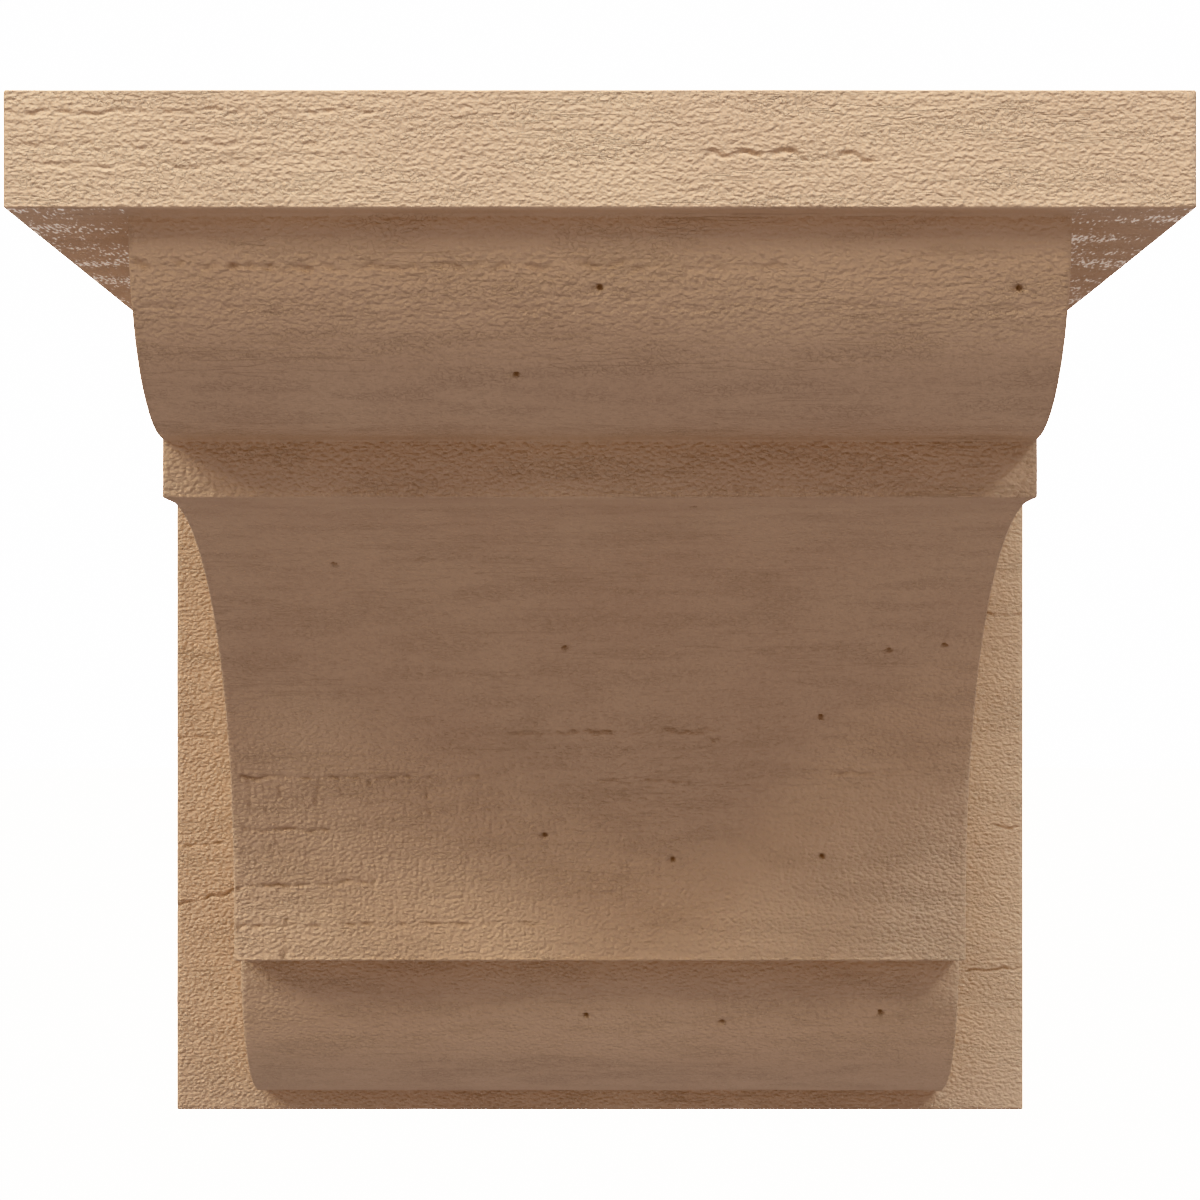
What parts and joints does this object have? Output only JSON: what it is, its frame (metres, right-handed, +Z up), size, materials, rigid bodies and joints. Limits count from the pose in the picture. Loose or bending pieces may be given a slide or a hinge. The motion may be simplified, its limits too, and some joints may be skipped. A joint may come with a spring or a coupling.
{
  "type": "wall corbel",
  "caption": "Square-set wall corbel with a cap plate, a stepped body of rounds, fillet and deep cove, and a flat wall plate, in rough-sawn timber texture.",
  "frame": {"origin": "middle of the flat wall face, the side that is fastened to the wall", "axes": "+Z up, +Y into the wall, -Y out into the room towards the cap plate's front, +X to the right as seen from the front"},
  "size_m": [0.254, 0.254, 0.254],
  "materials": {
    "primed_moulding": "rigid polyurethane moulding with a rough-sawn cedar texture, under one even coat of matte tan primer"
  },
  "bodies": {
    "root": {"corbel": "primed_moulding"}
  },
  "joints": []
}
